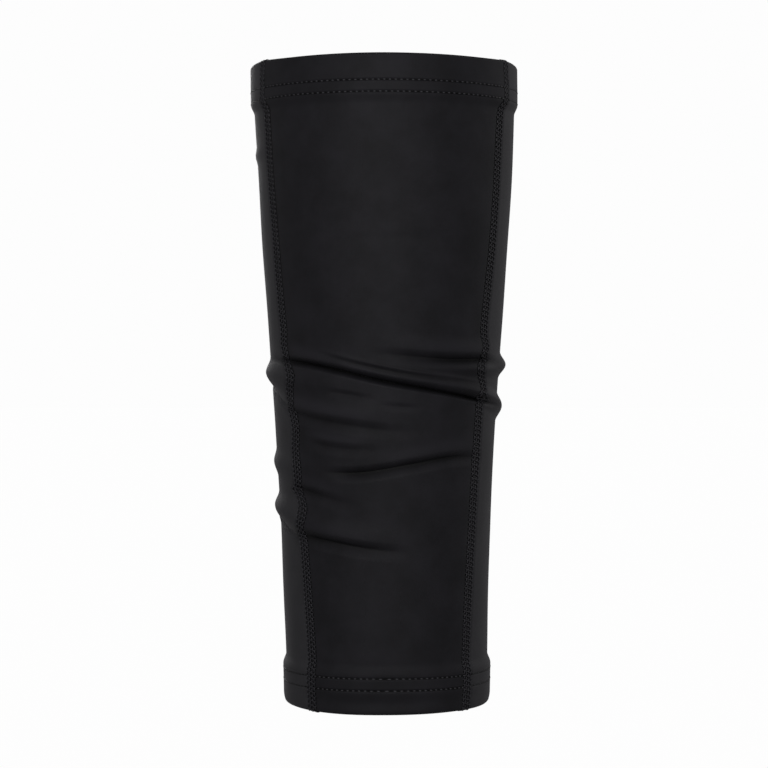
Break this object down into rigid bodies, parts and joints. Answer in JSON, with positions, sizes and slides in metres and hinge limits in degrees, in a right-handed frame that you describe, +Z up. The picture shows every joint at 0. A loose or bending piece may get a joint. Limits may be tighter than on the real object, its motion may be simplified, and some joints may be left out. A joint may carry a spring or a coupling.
{
  "type": "arm sleeve",
  "caption": "Close fitting tapered arm sleeve of black stretch cloth, open at both ends, with flat side seams, turned hems and slack folds round the elbow.",
  "frame": {"origin": "on the arm's axis, half way along the sleeve, where the arm that wears it holds it up", "axes": "+Z up the arm towards the wide upper arm end, -Y towards the front panel, +X to the right as seen from the front"},
  "size_m": [0.1142, 0.1151, 0.27],
  "materials": {
    "front_cloth": "black fine stretch knit with a soft sheen",
    "back_cloth": "black fine stretch knit, a little lighter, with a soft sheen",
    "seam_thread": "black textured sewing thread"
  },
  "bodies": {
    "root": {"front_panel": "front_cloth", "back_panel": "back_cloth", "left_seam": "seam_thread", "right_seam": "seam_thread"}
  },
  "joints": []
}
